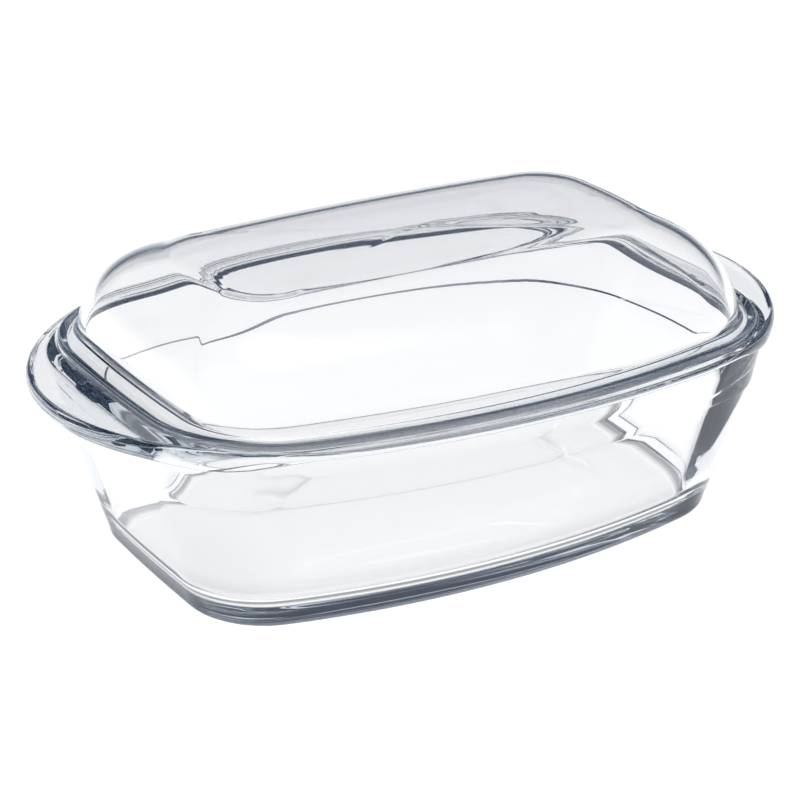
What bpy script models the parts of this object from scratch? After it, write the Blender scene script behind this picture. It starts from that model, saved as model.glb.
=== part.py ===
"""Covered oven dish in clear pressed glass: a deep rectangular dish with wing handles and a domed lid.

Metres, +Z up.  The origin is the bottom centre of the dish, X runs along its length.
Both pieces are pressings, so each one is a single closed body: the dish carries its wing handles,
lid seat, locating lugs and foot ring, and the lid carries its flange.
"""
import math

import bmesh
import bpy
import numpy as np

# Sampling of every rounded-rectangle outline, segments per quarter
END_SEGS = 6
CORNER_SEGS = 7
SIDE_SEGS = 7

# Dish body: outer outline just under the rim
BODY_HALF_LENGTH = 0.1676
BODY_HALF_WIDTH = 0.1182
BODY_SIDE_ARC = 0.459
BODY_END_ARC = 1.195
BODY_CORNER = 0.068
BODY_OUTLINE_Z = 0.0910
FOOT_OUTLINE_Z = 0.0100

# Dish heights
RIM_TOP = 0.100
SEAT_Z = 0.098
RIM_UNDERSIDE = 0.0954
WALL_TOP = 0.0885
STEP_Z = 0.0687
FLOOR_TOP = 0.0085

# Dish walls
WALL_DRAFT = 0.0238
STEP_DEPTH = 0.001
STEP_BAND = 0.0008
LOWER_WALL_SHARE = 0.45
WALL_AT_FOOT = 0.0060
BASE_CORNER = 0.042
BASE_FILLET = 0.0055
FLOOR_FILLET = 0.013
CAVITY_CORNER = 0.047
FOOT_RING_WIDTH = 0.046
RECESS_DEPTH = 0.0008
RECESS_CORNER = 0.021
RECESS_SLOPE = 0.009

# Dish rim and wing handles
RIM_OVERHANG = 0.0088
RIM_EDGE_TOP_ROUND = 0.0016
RIM_EDGE_Z = 0.0979
RIM_EDGE_UNDER_ROUND = 0.0055
RIM_FILLET = 0.0010
RIM_HEAD_SHARE = 0.3
TOP_ROUND_SHARE = 0.6
UNDER_ROUND_SHARE = 0.7
HANDLE_REACH = 0.190
HANDLE_ARC = 0.1129
HANDLE_CORNER = 0.125

# The rim is thin along the sides and thickens into the wings between these distances from the middle
WING_START = 0.108
WING_FULL = 0.152
WING_EDGE_TOP_ROUND = 0.0030
WING_EDGE_Z = 0.0958
WING_UNDERSIDE = 0.0902

# Lid flange outline, and the seat and lip that hold it
FLANGE_HALF_LENGTH = 0.1610
FLANGE_HALF_WIDTH = 0.1190
FLANGE_SIDE_ARC = 0.467
FLANGE_END_ARC = 0.885
FLANGE_CORNER = 0.067
SEAT_WIDTH = 0.0050
LID_GAP = 0.0004
LIP_SLOPE = 0.0005
SEAT_EDGE_ROUND = 0.0010

# Locating lugs on the rim, one at the middle of each end
LUG_LENGTH = 0.022
LUG_WIDTH = 0.0042
LUG_RISE = 0.0020
LUG_ROOT = 0.0020
LUG_BEVEL = 0.0012
LUG_SETBACK = 0.0003

# Lid
LID_REST_GAP = 0.0003
FLANGE_TOP = 0.1030
LID_GLASS = 0.0045
MOUTH_GLASS = 0.0049
MOUTH_EDGE_GLASS = 0.0035
MOUTH_EDGE_RISE = 0.0015
LID_WALL_HALF_LENGTH = 0.1494
LID_WALL_HALF_WIDTH = 0.1106
LID_WALL_CORNER = 0.0475
LID_WALL_SIDE_ARC = 0.459
LID_TOP_HALF_LENGTH = 0.1125
LID_TOP_HALF_WIDTH = 0.0504
LID_TOP_CORNER = 0.0257
LID_TOP_SIDE_ARC = 1.08
LID_TOP_END_ARC = 0.28
LID_SHOULDER_RISE = 0.0452
LID_CROWN = 0.0015
FLANGE_FILLET = 0.0025
FLANGE_EDGE_ROUND = 0.0019
FLANGE_UNDER_ROUND = 0.0009

# Shoulder curve of the lid, shares of its inset and rise: steep at the foot, shallow at the top
SHOULDER_FOOT_PULL = (0.14, 0.77)
SHOULDER_TOP_PULL = (0.55, 0.81)
SHOULDER_STEPS = 10
SHOULDER_START = 0.07
PANEL_RING_SHARES = (0.76, 0.48, 0.22, 0.06)

# Faces that meet more steeply than this are shaded as an edge
EDGE_ANGLE = math.radians(32.0)


def clear_scene():
    for obj in list(bpy.data.objects):
        bpy.data.objects.remove(obj, do_unlink=True)


def make_collection(name):
    collection = bpy.data.collections.new(name)
    bpy.context.scene.collection.children.link(collection)
    return collection


def glass(name, colour):
    material = bpy.data.materials.new(name)
    material.use_nodes = True
    shader = material.node_tree.nodes["Principled BSDF"]
    shader.inputs["Base Color"].default_value = (*colour, 1.0)
    shader.inputs["Roughness"].default_value = 0.02
    shader.inputs["Metallic"].default_value = 0.0
    shader.inputs["IOR"].default_value = 1.5
    shader.inputs["Transmission Weight"].default_value = 0.0
    material.diffuse_color = (*colour, 1.0)
    return material


# ---------------------------------------------------------------- outlines

def arc_points(centre, radius, start, stop, segments, last=False):
    """Points and outward normals on a circular arc, the final point only when asked for."""
    angles = np.linspace(start, stop, segments + 1)
    if not last:
        angles = angles[:-1]
    normals = np.column_stack([np.cos(angles), np.sin(angles)])
    return centre + radius * normals, normals


def mirror_quarter(quarter, normals):
    """Full closed ring from its +X +Y quarter, running anticlockwise from the +X axis."""
    flip_x = np.array([-1.0, 1.0])
    flip_y = np.array([1.0, -1.0])
    half = np.concatenate([quarter, quarter[::-1][1:] * flip_x])
    half_normals = np.concatenate([normals, normals[::-1][1:] * flip_x])
    full = np.concatenate([half, half[::-1][1:-1] * flip_y])
    full_normals = np.concatenate([half_normals, half_normals[::-1][1:-1] * flip_y])
    return full, full_normals


def bowed_rectangle(half_length, half_width, side_arc, end_arc, corner):
    """Rounded rectangle whose sides and ends are arcs, joined tangentially by the corner arcs.

    The corner's radius is below both arcs', or between the two where a tight end sits in a wide side.
    """
    side_centre = np.array([0.0, half_width - side_arc])
    end_centre = np.array([half_length - end_arc, 0.0])
    span = np.linalg.norm(end_centre - side_centre)
    side_reach = side_arc - corner
    end_reach = end_arc - corner
    along = (span**2 + side_reach**2 - end_reach**2) / (2.0 * span)
    across = math.sqrt(side_reach**2 - along**2)
    direction = (end_centre - side_centre) / span
    square = np.array([-direction[1], direction[0]])
    candidates = [side_centre + direction * along + square * sign * across for sign in (1.0, -1.0)]
    facing = 1.0 if corner < end_arc else -1.0
    corner_centre = max(candidates, key=lambda point: facing * (point[0] + point[1]))
    from_end = (corner_centre - end_centre) * facing
    from_side = corner_centre - side_centre
    end_stop = math.atan2(from_end[1], from_end[0])
    side_start = math.atan2(from_side[1], from_side[0])
    parts = [
        arc_points(end_centre, end_arc, 0.0, end_stop, END_SEGS),
        arc_points(corner_centre, corner, end_stop, side_start, CORNER_SEGS),
        arc_points(side_centre, side_arc, side_start, math.pi / 2.0, SIDE_SEGS, last=True),
    ]
    quarter = np.concatenate([points for points, _ in parts])
    normals = np.concatenate([part_normals for _, part_normals in parts])
    return mirror_quarter(quarter, normals)


def body_outline(inset, corner=None):
    """Dish body outline drawn in by an inset, with its own corner radius when one is given."""
    if corner is None:
        corner = BODY_CORNER - inset
    return bowed_rectangle(
        BODY_HALF_LENGTH - inset,
        BODY_HALF_WIDTH - inset,
        BODY_SIDE_ARC - inset,
        BODY_END_ARC - inset,
        corner,
    )[0]


def flange_outline(inset):
    """Outline of the lid flange drawn in by an inset; a negative inset grows it."""
    return bowed_rectangle(
        FLANGE_HALF_LENGTH - inset,
        FLANGE_HALF_WIDTH - inset,
        FLANGE_SIDE_ARC - inset,
        FLANGE_END_ARC - inset,
        FLANGE_CORNER - inset,
    )[0]


def rim_edge():
    """Outer edge of the rim, its long sides running smoothly into the wing handles' arcs."""
    return bowed_rectangle(
        HANDLE_REACH,
        BODY_HALF_WIDTH + RIM_OVERHANG,
        BODY_SIDE_ARC + RIM_OVERHANG,
        HANDLE_ARC,
        HANDLE_CORNER,
    )[0]


def wing_share(points):
    """How far each point belongs to a wing handle: 0 along the sides, 1 at the ends."""
    share = np.clip((np.abs(points[:, 0]) - WING_START) / (WING_FULL - WING_START), 0.0, 1.0)
    return share * share * (3.0 - 2.0 * share)


def draw_in(points, distance):
    """Moves a closed outline inward by a distance, square to itself."""
    tangent = np.roll(points, -1, axis=0) - np.roll(points, 1, axis=0)
    outward = np.column_stack([tangent[:, 1], -tangent[:, 0]])
    outward /= np.linalg.norm(outward, axis=1)[:, None]
    return points - outward * distance


def at_height(points, height):
    return np.column_stack([points, np.full(len(points), height)])


def blend(first, second, share):
    return first + (second - first) * share


def rounding(outline, width, level, tip, degrees):
    """Rings of a quarter-round edge on an outline: 0 degrees at the level, 90 at the tip's height."""
    rings = []
    for angle in np.radians(degrees):
        inset = width * (1.0 - math.cos(angle))
        rings.append(at_height(draw_in(outline, inset), blend(level, tip, math.sin(angle))))
    return rings


# ---------------------------------------------------------------- lofting

def loft(name, rings, collection, material):
    """Closed body from a run of closed rings, its two ends filled flat."""
    mesh_data = bmesh.new()
    loops = [[mesh_data.verts.new(point) for point in ring] for ring in rings]
    count = len(rings[0])
    for lower, upper in zip(loops[:-1], loops[1:]):
        for i in range(count):
            j = (i + 1) % count
            mesh_data.faces.new((lower[i], lower[j], upper[j], upper[i]))
    mesh_data.faces.new(loops[0][::-1])
    mesh_data.faces.new(loops[-1])
    bmesh.ops.recalc_face_normals(mesh_data, faces=mesh_data.faces)
    return finish_mesh(name, mesh_data, collection, material)


def finish_mesh(name, mesh_data, collection, material):
    mesh = bpy.data.meshes.new(name)
    mesh_data.to_mesh(mesh)
    mesh_data.free()
    mesh.materials.append(material)
    for polygon in mesh.polygons:
        polygon.use_smooth = True
    mesh.set_sharp_from_angle(angle=EDGE_ANGLE)
    obj = bpy.data.objects.new(name, mesh)
    collection.objects.link(obj)
    return obj


# ---------------------------------------------------------------- dish

def wall_share(height):
    """Share of the way up the drafted wall, 0 at the foot outline and 1 at the body outline."""
    return (height - FOOT_OUTLINE_Z) / (BODY_OUTLINE_Z - FOOT_OUTLINE_Z)


def wall_ring(height, extra=0.0):
    """Outer wall at a height: drafted, with corners that open out faster towards the rim."""
    share = wall_share(height)
    corner = blend(BASE_CORNER, BODY_CORNER, share**3)
    return at_height(body_outline(WALL_DRAFT * (1.0 - share) + extra, corner), height)


def cavity_foot():
    return body_outline(WALL_DRAFT + WALL_AT_FOOT, CAVITY_CORNER)


def cavity_rings():
    """Inside of the dish from its floor, up the floor fillet and the wall."""
    foot = cavity_foot()
    wall_foot = FLOOR_TOP + FLOOR_FILLET
    wall_head = SEAT_Z - SEAT_EDGE_ROUND
    rings = rounding(foot, FLOOR_FILLET, wall_foot, FLOOR_TOP, (90.0, 65.0, 40.0, 18.0, 0.0))
    halfway = blend(foot, flange_outline(SEAT_WIDTH), 0.5)
    rings.append(at_height(halfway, blend(wall_foot, wall_head, 0.5)))
    return rings


def seat_rings():
    """Ledge the lid rests on, and the low lip round it that rises to the top of the rim."""
    return [
        at_height(flange_outline(SEAT_WIDTH), SEAT_Z - SEAT_EDGE_ROUND),
        at_height(flange_outline(SEAT_WIDTH - SEAT_EDGE_ROUND), SEAT_Z),
        at_height(flange_outline(-LID_GAP), SEAT_Z),
        at_height(flange_outline(-LID_GAP - LIP_SLOPE), RIM_TOP),
    ]


def room_to(edge, inner):
    """Distance from each point of an edge to the nearest point of an outline inside it."""
    return np.linalg.norm(edge[:, None] - inner[None], axis=2).min(axis=1)


def edge_ring(edge, width, level, tip, degrees):
    """One ring of a quarter-round edge whose width and heights vary from point to point."""
    angle = math.radians(degrees)
    inset = (width * (1.0 - math.cos(angle)))[:, None]
    return np.column_stack([draw_in(edge, inset), blend(level, tip, math.sin(angle))])


def rim_rings():
    """Flat top of the rim and handles, round their edge and back along the underside to the wall."""
    edge = rim_edge()
    fillet = body_outline(-RIM_FILLET)
    wing = wing_share(edge)
    top_room = room_to(edge, flange_outline(-LID_GAP - LIP_SLOPE))
    top_round = blend(RIM_EDGE_TOP_ROUND, WING_EDGE_TOP_ROUND, wing)
    top_round = np.minimum(top_round, TOP_ROUND_SHARE * top_room)
    under_round = np.minimum(RIM_EDGE_UNDER_ROUND, UNDER_ROUND_SHARE * room_to(edge, fillet))
    widest = blend(RIM_EDGE_Z, WING_EDGE_Z, wing)
    underside = blend(RIM_UNDERSIDE, WING_UNDERSIDE, wing)
    wall_head = blend(underside, np.full(len(edge), WALL_TOP), RIM_HEAD_SHARE)
    rings = [edge_ring(edge, top_round, widest, RIM_TOP, degrees) for degrees in (90.0, 50.0, 0.0)]
    rings += [edge_ring(edge, under_round, widest, underside, degrees) for degrees in (25.0, 50.0, 90.0)]
    rings.append(np.column_stack([fillet, underside]))
    rings.append(np.column_stack([body_outline(-RIM_HEAD_SHARE * RIM_FILLET), wall_head]))
    return rings


def wall_rings():
    """Outer wall from under the rim down past the shallow step to the foot fillet."""
    below_step = blend(BASE_FILLET, STEP_Z, LOWER_WALL_SHARE)
    return [
        wall_ring(WALL_TOP),
        wall_ring(STEP_Z + STEP_BAND * 0.5),
        wall_ring(STEP_Z - STEP_BAND * 0.5, STEP_DEPTH),
        wall_ring(below_step, STEP_DEPTH * LOWER_WALL_SHARE),
    ]


def foot_rings():
    """Foot fillet, the flat ring the dish stands on, and the shallow recess inside it."""
    foot = wall_ring(BASE_FILLET)[:, :2]
    rings = rounding(foot, BASE_FILLET, BASE_FILLET, 0.0, (0.0, 22.0, 45.0, 68.0, 90.0))
    recess = body_outline(WALL_DRAFT + FOOT_RING_WIDTH, RECESS_CORNER)
    rings.append(at_height(recess, 0.0))
    rings.append(at_height(draw_in(recess, RECESS_SLOPE), RECESS_DEPTH))
    return rings


def lug_block(name, side, collection, material):
    """Low bar with rounded edges that stands on the rim just outside the lid flange."""
    inner_face = FLANGE_HALF_LENGTH + LID_GAP + LIP_SLOPE + LUG_SETBACK
    mesh_data = bmesh.new()
    bmesh.ops.create_cube(mesh_data, size=1.0)
    height = LUG_RISE + LUG_ROOT
    scale = (LUG_WIDTH, LUG_LENGTH, height)
    bmesh.ops.scale(mesh_data, vec=scale, verts=mesh_data.verts)
    top_edges = [edge for edge in mesh_data.edges if max(vert.co.z for vert in edge.verts) > 0.0]
    bmesh.ops.bevel(mesh_data, geom=top_edges, offset=LUG_BEVEL, segments=2, profile=0.5, affect="EDGES")
    obj = finish_mesh(name, mesh_data, collection, material)
    obj.location = (side * (inner_face + LUG_WIDTH * 0.5), 0.0, RIM_TOP - LUG_ROOT + height * 0.5)
    return obj


def fuse(target, tool):
    modifier = target.modifiers.new(tool.name, "BOOLEAN")
    modifier.operation = "UNION"
    modifier.solver = "EXACT"
    modifier.object = tool
    tool.hide_render = True
    tool.display_type = "WIRE"


def make_dish(collection, cutters, material):
    rings = cavity_rings() + seat_rings() + rim_rings() + wall_rings() + foot_rings()
    dish = loft("dish", rings, collection, material)
    for label, side in (("lug_plus_x", 1.0), ("lug_minus_x", -1.0)):
        fuse(dish, lug_block(label, side, cutters, material))
    return dish


# ---------------------------------------------------------------- lid

def shoulder_share(step):
    """Shares of inset and rise along the shoulder, on a cubic curve."""
    rest = 1.0 - step
    foot = 3.0 * rest**2 * step
    top = 3.0 * rest * step**2
    end = step**3
    inset = foot * SHOULDER_FOOT_PULL[0] + top * SHOULDER_TOP_PULL[0] + end
    rise = foot * SHOULDER_FOOT_PULL[1] + top * SHOULDER_TOP_PULL[1] + end
    return inset, rise


def dome_outline(share):
    """Outline of the dome, from the foot of its wall (0) to the edge of its top panel (1)."""
    side_bow = blend(1.0 / LID_WALL_SIDE_ARC, 1.0 / LID_TOP_SIDE_ARC, share)
    end_bow = blend(1.0 / FLANGE_END_ARC, 1.0 / LID_TOP_END_ARC, share)
    return bowed_rectangle(
        blend(LID_WALL_HALF_LENGTH, LID_TOP_HALF_LENGTH, share),
        blend(LID_WALL_HALF_WIDTH, LID_TOP_HALF_WIDTH, share),
        1.0 / side_bow,
        1.0 / end_bow,
        blend(LID_WALL_CORNER, LID_TOP_CORNER, share),
    )[0]


def fillet_rings():
    """Hollow fillet between the top of the flange and the foot of the dome's wall."""
    foot = dome_outline(0.0)
    top = FLANGE_TOP + FLANGE_FILLET
    outer = draw_in(foot, -FLANGE_FILLET)
    return [
        at_height(outer, FLANGE_TOP),
        at_height(draw_in(outer, FLANGE_FILLET * math.sin(math.radians(45.0))),
                  blend(FLANGE_TOP, top, 1.0 - math.cos(math.radians(45.0)))),
    ]


def dome_rings():
    """Outer skin of the dome from the foot of its wall to the middle of the crowned top panel."""
    rings = []
    for step in np.linspace(SHOULDER_START, 1.0, SHOULDER_STEPS):
        inset, rise = shoulder_share(step)
        rings.append(at_height(dome_outline(inset), FLANGE_TOP + LID_SHOULDER_RISE * rise))
    edge = dome_outline(1.0)
    for share in PANEL_RING_SHARES:
        height = FLANGE_TOP + LID_SHOULDER_RISE + LID_CROWN * (1.0 - share**2)
        rings.append(at_height(edge * share, height))
    return rings


def inner_skin(rings, glass_thickness):
    """Rings of the inside of the shell, square to the outer skin by the thickness of the glass."""
    grid = np.array(rings)
    along = np.roll(grid, -1, axis=1) - np.roll(grid, 1, axis=1)
    across = np.empty_like(grid)
    across[1:-1] = grid[2:] - grid[:-2]
    across[0] = grid[1] - grid[0]
    across[-1] = grid[-1] - grid[-2]
    normal = np.cross(along, across)
    normal /= np.linalg.norm(normal, axis=2)[:, :, None]
    return grid - normal * glass_thickness


def mouth_rings():
    """Inner edge of the lid's mouth, eased where the inside meets the flat underside."""
    foot = dome_outline(0.0)
    underside = SEAT_Z + LID_REST_GAP
    return [
        at_height(draw_in(foot, MOUTH_GLASS), underside + MOUTH_EDGE_RISE),
        at_height(draw_in(foot, MOUTH_EDGE_GLASS), underside),
    ]


def flange_rings():
    """Round the edge of the flange, from its underside to its top."""
    underside = SEAT_Z + LID_REST_GAP
    under_level = underside + FLANGE_UNDER_ROUND
    top_level = FLANGE_TOP - FLANGE_EDGE_ROUND
    outline = flange_outline(0.0)
    rings = rounding(outline, FLANGE_UNDER_ROUND, under_level, underside, (90.0, 45.0, 0.0))
    rings += rounding(outline, FLANGE_EDGE_ROUND, top_level, FLANGE_TOP, (0.0, 45.0, 90.0))
    return rings


def make_lid(collection, material):
    dome = dome_rings()
    inside = list(inner_skin(dome, LID_GLASS))[::-1]
    rings = inside + mouth_rings() + flange_rings() + fillet_rings() + dome
    return loft("lid", rings, collection, material)


def main():
    clear_scene()
    parts = make_collection("covered_glass_dish")
    cutters = make_collection("cutters")
    dish_glass = glass("dish_clear_glass", (0.80, 0.88, 0.90))
    lid_glass = glass("lid_clear_glass", (0.86, 0.90, 0.92))
    make_dish(parts, cutters, dish_glass)
    make_lid(parts, lid_glass)


main()
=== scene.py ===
"""Covered oven dish in clear pressed glass: fine surfaces, glass, light and camera.

Metres, +Z up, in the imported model's own frame.  Both pressings are lofted again at a much finer
pitch than the frame's solids, with every edge rounded as fire-polished glass is.
"""
import math

import bpy
import numpy as np
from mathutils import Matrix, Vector


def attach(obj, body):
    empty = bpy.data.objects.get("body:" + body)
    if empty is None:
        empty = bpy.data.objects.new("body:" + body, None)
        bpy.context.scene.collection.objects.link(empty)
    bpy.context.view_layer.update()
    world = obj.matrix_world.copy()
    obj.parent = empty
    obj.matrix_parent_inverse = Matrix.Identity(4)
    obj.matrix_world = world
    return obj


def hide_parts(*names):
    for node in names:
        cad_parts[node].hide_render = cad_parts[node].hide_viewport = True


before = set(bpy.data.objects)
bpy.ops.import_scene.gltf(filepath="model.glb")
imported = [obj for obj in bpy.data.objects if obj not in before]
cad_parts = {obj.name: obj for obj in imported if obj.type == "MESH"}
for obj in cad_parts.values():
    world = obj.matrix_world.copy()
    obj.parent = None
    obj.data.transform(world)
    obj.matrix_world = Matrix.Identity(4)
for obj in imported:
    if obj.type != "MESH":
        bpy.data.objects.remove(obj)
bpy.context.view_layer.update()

# ---------------------------------------------------------------- sizes, metres
END_SEGS = 26
CORNER_SEGS = 30
SIDE_SEGS = 34
ROUND_STEPS = 7

BODY_HALF_LENGTH = 0.1676
BODY_HALF_WIDTH = 0.1182
BODY_SIDE_ARC = 0.459
BODY_END_ARC = 1.195
BODY_CORNER = 0.068
BODY_OUTLINE_Z = 0.0910
FOOT_OUTLINE_Z = 0.0100

RIM_TOP = 0.100
SEAT_Z = 0.098
RIM_UNDERSIDE = 0.0954
WALL_TOP = 0.0885
STEP_Z = 0.0687
FLOOR_TOP = 0.0085

WALL_DRAFT = 0.0238
STEP_DEPTH = 0.001
STEP_BAND = 0.0008
WALL_AT_FOOT = 0.0060
BASE_CORNER = 0.042
BASE_FILLET = 0.0055
FLOOR_FILLET = 0.013
CAVITY_CORNER = 0.047
FOOT_RING_WIDTH = 0.046
RECESS_CORNER = 0.021
RECESS_DEPTH = 0.0008
RECESS_SLOPE = 0.009

RIM_OVERHANG = 0.0088
RIM_EDGE_TOP_ROUND = 0.0016
RIM_EDGE_Z = 0.0979
RIM_EDGE_UNDER_ROUND = 0.0055
RIM_FILLET = 0.0010
TOP_ROUND_SHARE = 0.6
UNDER_ROUND_SHARE = 0.7
HANDLE_REACH = 0.190
HANDLE_ARC = 0.1129
HANDLE_CORNER = 0.125
WING_START = 0.108
WING_FULL = 0.152
WING_EDGE_TOP_ROUND = 0.0030
WING_EDGE_Z = 0.0958
WING_UNDERSIDE = 0.0902

FLANGE_HALF_LENGTH = 0.1610
FLANGE_HALF_WIDTH = 0.1190
FLANGE_SIDE_ARC = 0.467
FLANGE_END_ARC = 0.885
FLANGE_CORNER = 0.067
SEAT_WIDTH = 0.0050
LID_GAP = 0.0004
LIP_SLOPE = 0.0005
SEAT_EDGE_ROUND = 0.0010
SMALL_ROUND = 0.0005

LUG_LENGTH = 0.022
LUG_WIDTH = 0.0042
LUG_RISE = 0.0019
LUG_SETBACK = 0.0008

LID_REST_GAP = 0.0003
FLANGE_TOP = 0.1030
LID_GLASS = 0.0045
MOUTH_GLASS = 0.0049
MOUTH_EDGE_RISE = 0.0015
LID_WALL_HALF_LENGTH = 0.1494
LID_WALL_HALF_WIDTH = 0.1106
LID_WALL_CORNER = 0.0475
LID_WALL_SIDE_ARC = 0.459
LID_TOP_HALF_LENGTH = 0.1125
LID_TOP_HALF_WIDTH = 0.0504
LID_TOP_CORNER = 0.0257
LID_TOP_SIDE_ARC = 1.08
LID_TOP_END_ARC = 0.28
LID_SHOULDER_RISE = 0.0452
LID_CROWN = 0.0015
FLANGE_FILLET = 0.0025
FLANGE_EDGE_ROUND = 0.0019
FLANGE_UNDER_ROUND = 0.0009
SHOULDER_FOOT_PULL = (0.14, 0.77)
SHOULDER_TOP_PULL = (0.55, 0.81)
SHOULDER_STEPS = 44
SHOULDER_START = 0.03
PANEL_STEPS = 20
PANEL_LAST_SHARE = 0.06
CREASE_PASSES = 8

# Rounds and spacings of the fine surfaces
STEP_ROUND = 0.0003
RECESS_ROUND = 0.004
RIM_ROOT_ROUND = 0.0022
RIM_ROOT_SHARE = 0.3
RECESS_ROUND_STEPS = 8
LOWER_WALL_RINGS = 11
LUG_BAND = 0.0004
MOUTH_FLAT = 0.003
FLANGE_FILLET_REACH = 0.001
FLANGE_FILLET_SETBACK = 0.0002
FLANGE_FILLET_SHARE = 0.06

# ---------------------------------------------------------------- outlines


def arc_points(centre, radius, start, stop, segments, last=False):
    angles = np.linspace(start, stop, segments + 1)
    if not last:
        angles = angles[:-1]
    normals = np.column_stack([np.cos(angles), np.sin(angles)])
    return centre + radius * normals, normals


def mirror_quarter(quarter, normals):
    flip_x = np.array([-1.0, 1.0])
    flip_y = np.array([1.0, -1.0])
    half = np.concatenate([quarter, quarter[::-1][1:] * flip_x])
    half_normals = np.concatenate([normals, normals[::-1][1:] * flip_x])
    full = np.concatenate([half, half[::-1][1:-1] * flip_y])
    full_normals = np.concatenate([half_normals, half_normals[::-1][1:-1] * flip_y])
    return full, full_normals


def bowed_rectangle(half_length, half_width, side_arc, end_arc, corner):
    """Rounded rectangle whose sides and ends are arcs, joined tangentially by the corner arcs.

    The corner's radius is below both arcs', or between the two where a tight end sits in a wide side.
    """
    side_centre = np.array([0.0, half_width - side_arc])
    end_centre = np.array([half_length - end_arc, 0.0])
    span = np.linalg.norm(end_centre - side_centre)
    side_reach = side_arc - corner
    end_reach = end_arc - corner
    along = (span**2 + side_reach**2 - end_reach**2) / (2.0 * span)
    across = math.sqrt(side_reach**2 - along**2)
    direction = (end_centre - side_centre) / span
    square = np.array([-direction[1], direction[0]])
    candidates = [side_centre + direction * along + square * sign * across for sign in (1.0, -1.0)]
    facing = 1.0 if corner < end_arc else -1.0
    corner_centre = max(candidates, key=lambda point: facing * (point[0] + point[1]))
    from_end = (corner_centre - end_centre) * facing
    from_side = corner_centre - side_centre
    end_stop = math.atan2(from_end[1], from_end[0])
    side_start = math.atan2(from_side[1], from_side[0])
    parts = [
        arc_points(end_centre, end_arc, 0.0, end_stop, END_SEGS),
        arc_points(corner_centre, corner, end_stop, side_start, CORNER_SEGS),
        arc_points(side_centre, side_arc, side_start, math.pi / 2.0, SIDE_SEGS, last=True),
    ]
    quarter = np.concatenate([points for points, _ in parts])
    normals = np.concatenate([part_normals for _, part_normals in parts])
    return mirror_quarter(quarter, normals)


def body_outline(inset, corner=None):
    if corner is None:
        corner = BODY_CORNER - inset
    return bowed_rectangle(
        BODY_HALF_LENGTH - inset,
        BODY_HALF_WIDTH - inset,
        BODY_SIDE_ARC - inset,
        BODY_END_ARC - inset,
        corner,
    )[0]


def flange_outline(inset):
    return bowed_rectangle(
        FLANGE_HALF_LENGTH - inset,
        FLANGE_HALF_WIDTH - inset,
        FLANGE_SIDE_ARC - inset,
        FLANGE_END_ARC - inset,
        FLANGE_CORNER - inset,
    )[0]


def rim_edge():
    """Outer edge of the rim, its long sides running smoothly into the wing handles' arcs."""
    return bowed_rectangle(
        HANDLE_REACH,
        BODY_HALF_WIDTH + RIM_OVERHANG,
        BODY_SIDE_ARC + RIM_OVERHANG,
        HANDLE_ARC,
        HANDLE_CORNER,
    )[0]


def wing_share(points):
    """How far each point belongs to a wing handle: 0 along the sides, 1 at the ends."""
    share = np.clip((np.abs(points[:, 0]) - WING_START) / (WING_FULL - WING_START), 0.0, 1.0)
    return share * share * (3.0 - 2.0 * share)


def draw_in(points, distance):
    tangent = np.roll(points, -1, axis=0) - np.roll(points, 1, axis=0)
    outward = np.column_stack([tangent[:, 1], -tangent[:, 0]])
    outward /= np.linalg.norm(outward, axis=1)[:, None]
    return points - outward * distance


def at_height(points, height):
    return np.column_stack([points, np.full(len(points), height)])


def blend(first, second, share):
    return first + (second - first) * share


def rounding(outline, width, level, tip, first, last, steps=ROUND_STEPS):
    """Quarter-round edge on an outline: 0 degrees at the level, 90 at the tip's height."""
    rings = []
    for angle in np.radians(np.linspace(first, last, steps)):
        inset = width * (1.0 - math.cos(angle))
        rings.append(at_height(draw_in(outline, inset), blend(level, tip, math.sin(angle))))
    return rings


def between(first, second, steps):
    """Rings evenly spaced between two rings, both left out."""
    return [blend(first, second, share) for share in np.linspace(0.0, 1.0, steps + 2)[1:-1]]


def corner_between(before, corner, after, width, steps=4):
    """Rings that round the corner ring between its two neighbours by a small width."""
    start_span = np.linalg.norm(before - corner, axis=1)[:, None]
    stop_span = np.linalg.norm(after - corner, axis=1)[:, None]
    start = corner + (before - corner) * np.minimum(width / start_span, 0.5)
    stop = corner + (after - corner) * np.minimum(width / stop_span, 0.5)
    shares = np.linspace(0.0, 1.0, steps + 1)
    return [
        start * (1.0 - share) ** 2 + corner * 2.0 * share * (1.0 - share) + stop * share**2
        for share in shares
    ]


# ---------------------------------------------------------------- dish


def wall_share(height):
    return (height - FOOT_OUTLINE_Z) / (BODY_OUTLINE_Z - FOOT_OUTLINE_Z)


def wall_ring(height, extra=0.0):
    """Outer wall at a height: drafted, with corners that open out faster towards the rim."""
    share = wall_share(height)
    corner = blend(BASE_CORNER, BODY_CORNER, share**3)
    return at_height(body_outline(WALL_DRAFT * (1.0 - share) + extra, corner), height)


def cavity_rings():
    foot = body_outline(WALL_DRAFT + WALL_AT_FOOT, CAVITY_CORNER)
    wall_foot = FLOOR_TOP + FLOOR_FILLET
    wall_head = SEAT_Z - SEAT_EDGE_ROUND
    rings = rounding(foot, FLOOR_FILLET, wall_foot, FLOOR_TOP, 90.0, 0.0, 12)
    head = at_height(flange_outline(SEAT_WIDTH), wall_head)
    rings += between(rings[-1], head, 10)
    return rings + [head]


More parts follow.
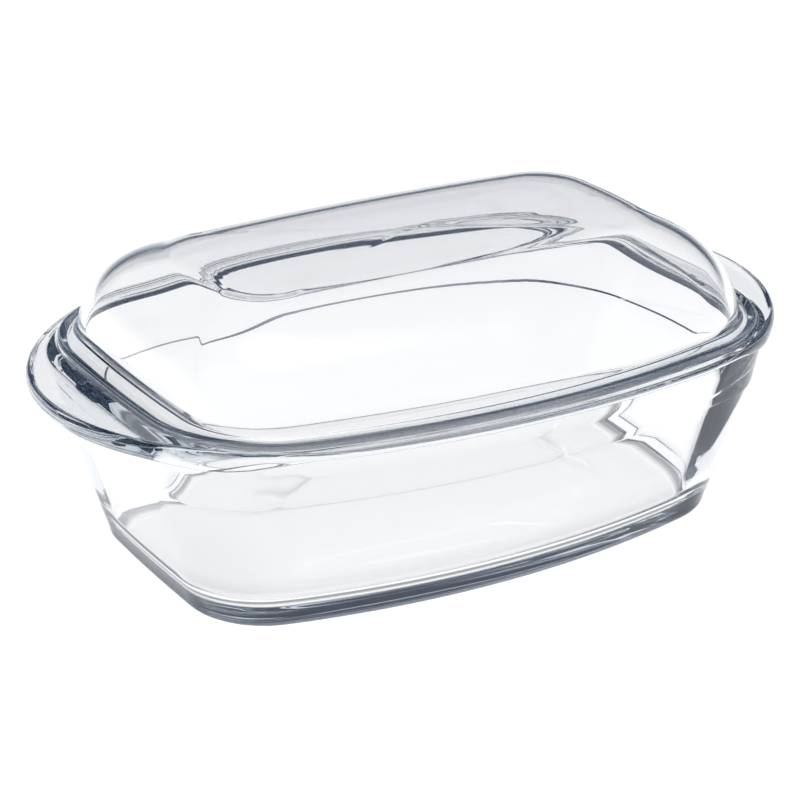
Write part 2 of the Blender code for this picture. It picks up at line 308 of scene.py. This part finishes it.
def seat_rings():
    head = at_height(flange_outline(SEAT_WIDTH), SEAT_Z - SEAT_EDGE_ROUND)
    edge = at_height(flange_outline(SEAT_WIDTH), SEAT_Z)
    seat = at_height(flange_outline(SEAT_WIDTH - SEAT_EDGE_ROUND), SEAT_Z)
    foot = at_height(flange_outline(-LID_GAP), SEAT_Z)
    lip = at_height(flange_outline(-LID_GAP - LIP_SLOPE), RIM_TOP)
    beyond = at_height(flange_outline(-LID_GAP - LIP_SLOPE - 2.0 * SMALL_ROUND), RIM_TOP)
    rings = corner_between(head, edge, seat, SEAT_EDGE_ROUND)[1:]
    rings += between(seat, foot, 2)
    rings += corner_between(seat, foot, lip, SMALL_ROUND)
    rings += corner_between(foot, lip, beyond, SMALL_ROUND)
    return rings


def room_to(edge, inner):
    """Distance from each point of an edge to the nearest point of an outline inside it."""
    return np.linalg.norm(edge[:, None] - inner[None], axis=2).min(axis=1)


def edge_ring(edge, width, level, tip, angle):
    """One ring of a quarter-round edge whose width and heights vary from point to point."""
    inset = (width * (1.0 - math.cos(angle)))[:, None]
    return np.column_stack([draw_in(edge, inset), blend(level, tip, math.sin(angle))])


def rim_rings():
    edge = rim_edge()
    fillet = body_outline(-RIM_FILLET)
    lip = flange_outline(-LID_GAP - LIP_SLOPE - SMALL_ROUND)
    wing = wing_share(edge)
    top_round = blend(RIM_EDGE_TOP_ROUND, WING_EDGE_TOP_ROUND, wing)
    top_round = np.minimum(top_round, TOP_ROUND_SHARE * room_to(edge, lip))
    under_round = np.minimum(RIM_EDGE_UNDER_ROUND, UNDER_ROUND_SHARE * room_to(edge, fillet))
    widest = blend(RIM_EDGE_Z, WING_EDGE_Z, wing)
    underside = blend(RIM_UNDERSIDE, WING_UNDERSIDE, wing)
    turn = np.radians(np.linspace(0.0, 90.0, 12))
    top = [edge_ring(edge, top_round, widest, RIM_TOP, angle) for angle in turn[::-1]]
    under = [edge_ring(edge, under_round, widest, underside, angle) for angle in turn[1:]]
    plate = between(at_height(lip, RIM_TOP), top[0], 6)
    root = np.column_stack([fillet, underside])
    corner = np.column_stack([body_outline(-RIM_ROOT_SHARE * RIM_FILLET), underside])
    reach = between(under[-1], root, 3)
    turn_down = corner_between(root, corner, wall_ring(WALL_TOP), RIM_ROOT_ROUND, 6)
    return plate + top + under + reach + turn_down


def wall_rings():
    upper = wall_ring(STEP_Z + STEP_BAND * 0.5)
    lower = wall_ring(STEP_Z - STEP_BAND * 0.5, STEP_DEPTH)
    head = wall_ring(WALL_TOP)
    foot = wall_ring(BASE_FILLET)
    rings = [head] + between(head, upper, 4)
    rings += corner_between(rings[-1], upper, lower, STEP_ROUND)
    rings += corner_between(upper, lower, foot, STEP_ROUND)
    for share in np.linspace(0.0, 1.0, LOWER_WALL_RINGS + 2)[1:-1]:
        height = blend(STEP_Z - STEP_BAND, BASE_FILLET, share)
        rings.append(wall_ring(height, STEP_DEPTH * (1.0 - share)))
    return rings


def foot_rings():
    foot = wall_ring(BASE_FILLET)[:, :2]
    rings = rounding(foot, BASE_FILLET, BASE_FILLET, 0.0, 0.0, 90.0, 16)
    outline = body_outline(WALL_DRAFT + FOOT_RING_WIDTH, RECESS_CORNER)
    recess = at_height(outline, 0.0)
    floor = at_height(draw_in(outline, RECESS_SLOPE), RECESS_DEPTH)
    middle = at_height(draw_in(outline, 2.0 * RECESS_SLOPE), RECESS_DEPTH)
    rings += between(rings[-1], recess, 3)
    rings += corner_between(rings[-1], recess, floor, RECESS_ROUND, RECESS_ROUND_STEPS)
    rings += corner_between(recess, floor, middle, RECESS_ROUND, RECESS_ROUND_STEPS)
    return rings + [middle]


def add_lugs(grid):
    """Raises a low smooth lug out of the top of the rim at the middle of each end."""
    inner = FLANGE_HALF_LENGTH + LID_GAP + LIP_SLOPE + LUG_SETBACK
    across = (np.abs(grid[..., 0]) - inner - LUG_WIDTH * 0.5) / (LUG_WIDTH * 0.5)
    along = grid[..., 1] / (LUG_LENGTH * 0.5)
    shape = np.clip(1.0 - across**4 - along**6, 0.0, 1.0)
    on_top = grid[..., 2] > RIM_TOP - LUG_BAND
    grid[..., 2] += np.where(on_top, LUG_RISE * np.sqrt(shape), 0.0)
    return grid


# ---------------------------------------------------------------- lid


def shoulder_share(step):
    rest = 1.0 - step
    foot = 3.0 * rest**2 * step
    top = 3.0 * rest * step**2
    end = step**3
    inset = foot * SHOULDER_FOOT_PULL[0] + top * SHOULDER_TOP_PULL[0] + end
    rise = foot * SHOULDER_FOOT_PULL[1] + top * SHOULDER_TOP_PULL[1] + end
    return inset, rise


def dome_outline(share):
    side_bow = blend(1.0 / LID_WALL_SIDE_ARC, 1.0 / LID_TOP_SIDE_ARC, share)
    end_bow = blend(1.0 / FLANGE_END_ARC, 1.0 / LID_TOP_END_ARC, share)
    return bowed_rectangle(
        blend(LID_WALL_HALF_LENGTH, LID_TOP_HALF_LENGTH, share),
        blend(LID_WALL_HALF_WIDTH, LID_TOP_HALF_WIDTH, share),
        1.0 / side_bow,
        1.0 / end_bow,
        blend(LID_WALL_CORNER, LID_TOP_CORNER, share),
    )[0]


def dome_rings():
    """Outer skin of the dome, its crease round the top panel eased along the run of rings."""
    rings = []
    for step in np.linspace(SHOULDER_START, 1.0, SHOULDER_STEPS):
        inset, rise = shoulder_share(step)
        rings.append(at_height(dome_outline(inset), FLANGE_TOP + LID_SHOULDER_RISE * rise))
    edge = dome_outline(1.0)
    for share in np.linspace(1.0, PANEL_LAST_SHARE, PANEL_STEPS + 1)[1:]:
        height = FLANGE_TOP + LID_SHOULDER_RISE + LID_CROWN * (1.0 - share**2)
        rings.append(at_height(edge * share, height))
    grid = np.array(rings)
    for _ in range(CREASE_PASSES):
        grid[1:-1] = 0.25 * grid[:-2] + 0.5 * grid[1:-1] + 0.25 * grid[2:]
    return list(grid)


def fillet_rings():
    foot = dome_outline(0.0)
    outer = at_height(draw_in(foot, -FLANGE_FILLET - FLANGE_FILLET_REACH), FLANGE_TOP)
    corner = at_height(draw_in(foot, -FLANGE_FILLET_SETBACK), FLANGE_TOP)
    inset, rise = shoulder_share(FLANGE_FILLET_SHARE)
    wall = at_height(dome_outline(inset), FLANGE_TOP + LID_SHOULDER_RISE * rise)
    return corner_between(outer, corner, wall, FLANGE_FILLET, 7)


def inner_skin(rings, glass_thickness):
    grid = np.array(rings)
    along = np.roll(grid, -1, axis=1) - np.roll(grid, 1, axis=1)
    across = np.empty_like(grid)
    across[1:-1] = grid[2:] - grid[:-2]
    across[0] = grid[1] - grid[0]
    across[-1] = grid[-1] - grid[-2]
    normal = np.cross(along, across)
    normal /= np.linalg.norm(normal, axis=2)[:, :, None]
    return grid - normal * glass_thickness


def mouth_rings(inside_last):
    foot = dome_outline(0.0)
    underside = SEAT_Z + LID_REST_GAP
    wall = at_height(draw_in(foot, MOUTH_GLASS), underside + MOUTH_EDGE_RISE)
    corner = at_height(draw_in(foot, MOUTH_GLASS), underside)
    edge = at_height(draw_in(foot, MOUTH_GLASS - MOUTH_FLAT), underside)
    rings = between(inside_last, wall, 3)
    return rings + corner_between(wall, corner, edge, MOUTH_EDGE_RISE, 6)


def flange_rings():
    underside = SEAT_Z + LID_REST_GAP
    outline = flange_outline(0.0)
    under = underside + FLANGE_UNDER_ROUND
    top = FLANGE_TOP - FLANGE_EDGE_ROUND
    rings = rounding(outline, FLANGE_UNDER_ROUND, under, underside, 90.0, 0.0, 6)
    rings += rounding(outline, FLANGE_EDGE_ROUND, top, FLANGE_TOP, 0.0, 90.0, 9)
    return rings


# ---------------------------------------------------------------- meshes


def loft(name, rings, material):
    count = len(rings[0])
    points = np.concatenate(rings)
    faces = []
    for level in range(len(rings) - 1):
        low = level * count
        high = low + count
        for i in range(count):
            j = (i + 1) % count
            faces.append((low + i, low + j, high + j, high + i))
    last = (len(rings) - 1) * count
    faces.append(tuple(range(count))[::-1])
    faces.append(tuple(range(last, last + count)))
    mesh = bpy.data.meshes.new(name)
    mesh.from_pydata(points.tolist(), [], faces)
    mesh.materials.append(material)
    mesh.polygons.foreach_set("use_smooth", [True] * len(mesh.polygons))
    mesh.update()
    obj = bpy.data.objects.new(name, mesh)
    bpy.context.scene.collection.objects.link(obj)
    return obj


def signed_volume(mesh):
    mesh.calc_loop_triangles()
    total = 0.0
    for triangle in mesh.loop_triangles:
        first, second, third = (mesh.vertices[i].co for i in triangle.vertices)
        total += first.dot(second.cross(third))
    return total / 6.0


def face_outward(obj):
    if signed_volume(obj.data) < 0.0:
        obj.data.flip_normals()


# ---------------------------------------------------------------- materials


GLASS_IOR = 1.48
GLASS_TINT = (0.60, 0.66, 0.72, 1.0)
GLASS_DENSITY = 9.0
WAVE_DEPTH = 0.00004
DISH_WAVE_SCALE = 22.0
LID_WAVE_SCALE = 18.0
HAZE_SCALE = 18.0
HAZE_ROUGHNESS = 0.012


def clear_glass(name, wave_scale):
    """Tinted clear glass with faint surface waves and barely uneven polish."""
    material = bpy.data.materials.new(name)
    material.use_nodes = True
    tree = material.node_tree
    nodes = tree.nodes
    links = tree.links
    shader = nodes["Principled BSDF"]
    output = nodes["Material Output"]
    shader.inputs["Base Color"].default_value = (1.0, 1.0, 1.0, 1.0)
    shader.inputs["Transmission Weight"].default_value = 1.0
    shader.inputs["IOR"].default_value = GLASS_IOR
    where = nodes.new("ShaderNodeTexCoord")
    wave = nodes.new("ShaderNodeTexNoise")
    wave.inputs["Scale"].default_value = wave_scale
    wave.inputs["Detail"].default_value = 1.5
    bump = nodes.new("ShaderNodeBump")
    bump.inputs["Strength"].default_value = 1.0
    bump.inputs["Distance"].default_value = WAVE_DEPTH
    links.new(where.outputs["Object"], wave.inputs["Vector"])
    links.new(wave.outputs["Fac"], bump.inputs["Height"])
    links.new(bump.outputs["Normal"], shader.inputs["Normal"])
    haze = nodes.new("ShaderNodeTexNoise")
    haze.inputs["Scale"].default_value = HAZE_SCALE
    haze.inputs["Detail"].default_value = 4.0
    levels = nodes.new("ShaderNodeMapRange")
    levels.inputs["From Min"].default_value = 0.45
    levels.inputs["From Max"].default_value = 0.75
    levels.inputs["To Min"].default_value = 0.0
    levels.inputs["To Max"].default_value = HAZE_ROUGHNESS
    links.new(where.outputs["Object"], haze.inputs["Vector"])
    links.new(haze.outputs["Fac"], levels.inputs["Value"])
    links.new(levels.outputs["Result"], shader.inputs["Roughness"])
    absorb = nodes.new("ShaderNodeVolumeAbsorption")
    absorb.inputs["Color"].default_value = GLASS_TINT
    absorb.inputs["Density"].default_value = GLASS_DENSITY
    links.new(absorb.outputs["Volume"], output.inputs["Volume"])
    return material


# ---------------------------------------------------------------- build

dish_glass = clear_glass("dish_glass_fine", DISH_WAVE_SCALE)
lid_glass = clear_glass("lid_glass_fine", LID_WAVE_SCALE)

dish_grid = np.array(cavity_rings() + seat_rings() + rim_rings() + wall_rings() + foot_rings())
dish = loft("dish_pressing", list(add_lugs(dish_grid)), dish_glass)
dome = dome_rings()
inside = list(inner_skin(dome, LID_GLASS))[::-1]
lid_run = inside + mouth_rings(inside[-1]) + flange_rings() + fillet_rings() + dome[2:]
lid = loft("lid_pressing", lid_run, lid_glass)
for piece in (dish, lid):
    face_outward(piece)
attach(dish, "dish")
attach(lid, "lid")
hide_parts("dish")
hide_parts("lid")

# ---------------------------------------------------------------- floor, light, camera

# Glow of the tabletop, and its fall to a dim room: shares of the reach from the dish
FLOOR_GLOW = 1.10
FLOOR_HALF_WIDTH = 14.0
FLOOR_DROP = 0.0005
FLOOR_REACH = 14.0
FLOOR_FALL = (
    (0.0, (1.0, 1.0, 1.0)),
    (0.20, (0.95, 0.95, 0.95)),
    (0.50, (0.62, 0.64, 0.68)),
    (1.0, (0.45, 0.48, 0.53)),
)

# Shade painted into the floor's glow where the foot stands, a darker ring of emission rather than a
# cast shadow: shares of the depth inwards from the foot's outline
PAINTED_SHADE_DEPTH = 0.040
PAINTED_CONTACT_SHADE = ((0.16, 1.0), (0.20, 0.30), (0.30, 0.30), (0.42, 0.92), (1.0, 0.96))


def fill_ramp(ramp, stops):
    """Sets a colour ramp's stops from (position, (r, g, b)) pairs."""
    elements = ramp.color_ramp.elements
    for element, (position, colour) in zip(elements, stops[:2]):
        element.position = position
        element.color = (*colour, 1.0)
    for position, colour in stops[2:]:
        elements.new(position).color = (*colour, 1.0)


def vector_step(tree, operation, source, value=None):
    """Adds one vector-math node fed by a socket, with an optional constant."""
    node = tree.nodes.new("ShaderNodeVectorMath")
    node.operation = operation
    tree.links.new(source, node.inputs[0])
    if value is not None:
        node.inputs[1].default_value = value
    return node.outputs["Value" if operation == "LENGTH" else "Vector"]


def scalar_step(tree, operation, first, second):
    """Adds one math node; each input is a socket or a constant."""
    node = tree.nodes.new("ShaderNodeMath")
    node.operation = operation
    for socket, source in zip(node.inputs, (first, second)):
        if isinstance(source, float):
            socket.default_value = source
        else:
            tree.links.new(source, socket)
    return node.outputs["Value"]


def depth_under_dish(tree, where):
    """How far a floor point lies inside the bowed outline of the dish's foot, metres."""
    split = tree.nodes.new("ShaderNodeSeparateXYZ")
    tree.links.new(vector_step(tree, "ABSOLUTE", where), split.inputs["Vector"])
    bow = scalar_step(tree, "MULTIPLY", split.outputs["X"], split.outputs["X"])
    bow = scalar_step(tree, "MULTIPLY", bow, 0.5 / (BODY_SIDE_ARC - WALL_DRAFT))
    across = scalar_step(tree, "ADD", split.outputs["Y"], bow)
    join = tree.nodes.new("ShaderNodeCombineXYZ")
    tree.links.new(split.outputs["X"], join.inputs["X"])
    tree.links.new(across, join.inputs["Y"])
    half_length = BODY_HALF_LENGTH - WALL_DRAFT - BASE_CORNER
    half_width = BODY_HALF_WIDTH - WALL_DRAFT - BASE_CORNER
    beyond = vector_step(tree, "SUBTRACT", join.outputs["Vector"], (half_length, half_width, 0.0))
    beyond = vector_step(tree, "MAXIMUM", beyond, (0.0, 0.0, 0.0))
    return scalar_step(tree, "SUBTRACT", BASE_CORNER, vector_step(tree, "LENGTH", beyond))


def floor_material():
    """White glowing tabletop, with shade painted into its glow where the foot of the dish stands on
    it, and dimmer far away.
    """
    material = bpy.data.materials.new("studio_floor")
    material.use_nodes = True
    tree = material.node_tree
    shader = tree.nodes["Principled BSDF"]
    shader.inputs["Base Color"].default_value = (0.25, 0.25, 0.25, 1.0)
    shader.inputs["Roughness"].default_value = 0.9
    shader.inputs["Specular IOR Level"].default_value = 0.0
    where = tree.nodes.new("ShaderNodeTexCoord").outputs["Object"]
    far = tree.nodes.new("ShaderNodeValToRGB")
    distance = scalar_step(tree, "DIVIDE", vector_step(tree, "LENGTH", where), FLOOR_REACH)
    tree.links.new(distance, far.inputs["Fac"])
    fill_ramp(far, FLOOR_FALL)
    tree.links.new(far.outputs["Color"], shader.inputs["Emission Color"])
    # Painted shade: the floor's glow is turned down in a ring just inside the foot's outline
    shade = tree.nodes.new("ShaderNodeValToRGB")
    depth = scalar_step(tree, "DIVIDE", depth_under_dish(tree, where), PAINTED_SHADE_DEPTH)
    tree.links.new(depth, shade.inputs["Fac"])
    stops = [(position, (level,) * 3) for position, level in PAINTED_CONTACT_SHADE]
    fill_ramp(shade, stops)
    strength = scalar_step(tree, "MULTIPLY", shade.outputs["Color"], FLOOR_GLOW)
    tree.links.new(strength, shader.inputs["Emission Strength"])
    return material


def make_floor():
    mesh = bpy.data.meshes.new("studio_floor")
    signs = ((-1.0, -1.0), (1.0, -1.0), (1.0, 1.0), (-1.0, 1.0))
    corners = [(x * FLOOR_HALF_WIDTH, y * FLOOR_HALF_WIDTH, 0.0) for x, y in signs]
    mesh.from_pydata(corners, [], [(0, 1, 2, 3)])
    mesh.materials.append(floor_material())
    obj = bpy.data.objects.new("studio_floor", mesh)
    obj.location.z = -FLOOR_DROP
    bpy.context.scene.collection.objects.link(obj)


def make_world():
    """Dim blue-grey room, paler towards the horizon, with one soft light overhead."""
    world = bpy.data.worlds.new("studio")
    bpy.context.scene.world = world
    world.use_nodes = True
    tree = world.node_tree
    background = tree.nodes["Background"]
    where = tree.nodes.new("ShaderNodeTexCoord")
    split = tree.nodes.new("ShaderNodeSeparateXYZ")
    ramp = tree.nodes.new("ShaderNodeValToRGB")
    tree.links.new(where.outputs["Generated"], split.inputs["Vector"])
    tree.links.new(split.outputs["Z"], ramp.inputs["Fac"])
    tree.links.new(ramp.outputs["Color"], background.inputs["Color"])
    stops = (
        (0.0, (0.55, 0.58, 0.63)),
        (0.05, (0.40, 0.43, 0.48)),
        (0.12, (0.07, 0.09, 0.13)),
        (0.50, (0.05, 0.07, 0.11)),
        (0.90, (0.05, 0.07, 0.11)),
        (0.96, (1.2, 1.2, 1.2)),
    )
    fill_ramp(ramp, stops)
    background.inputs["Strength"].default_value = 1.0


CAMERA_AZIMUTH = math.radians(-30.61)
CAMERA_ELEVATION = math.radians(22.92)
CAMERA_DISTANCE = 1.296
CAMERA_TARGET = Vector((0.0, 0.0, 0.0642))
CAMERA_LENS = 119.8
CAMERA_SHIFT = (-0.0125, -0.0103)
LIGHT_BOUNCES = 128


def make_camera():
    data = bpy.data.cameras.new("camera")
    data.lens = CAMERA_LENS
    data.sensor_width = 36.0
    data.shift_x, data.shift_y = CAMERA_SHIFT
    camera = bpy.data.objects.new("camera", data)
    bpy.context.scene.collection.objects.link(camera)
    back = Vector((
        math.sin(CAMERA_AZIMUTH) * math.cos(CAMERA_ELEVATION),
        -math.cos(CAMERA_AZIMUTH) * math.cos(CAMERA_ELEVATION),
        math.sin(CAMERA_ELEVATION),
    ))
    camera.location = CAMERA_TARGET + back * CAMERA_DISTANCE
    camera.rotation_mode = "QUATERNION"
    camera.rotation_quaternion = (-back).to_track_quat("-Z", "Y")
    bpy.context.scene.camera = camera


def set_render_quality():
    scene = bpy.context.scene
    scene.view_settings.view_transform = "Standard"
    scene.cycles.max_bounces = LIGHT_BOUNCES
    scene.cycles.transmission_bounces = LIGHT_BOUNCES
    scene.cycles.glossy_bounces = LIGHT_BOUNCES
    scene.cycles.transparent_max_bounces = 16
    scene.cycles.use_denoising = True
    scene.cycles.caustics_refractive = True
    scene.cycles.caustics_reflective = False
    scene.cycles.sample_clamp_indirect = 4.0


make_floor()
make_world()
make_camera()
set_render_quality()
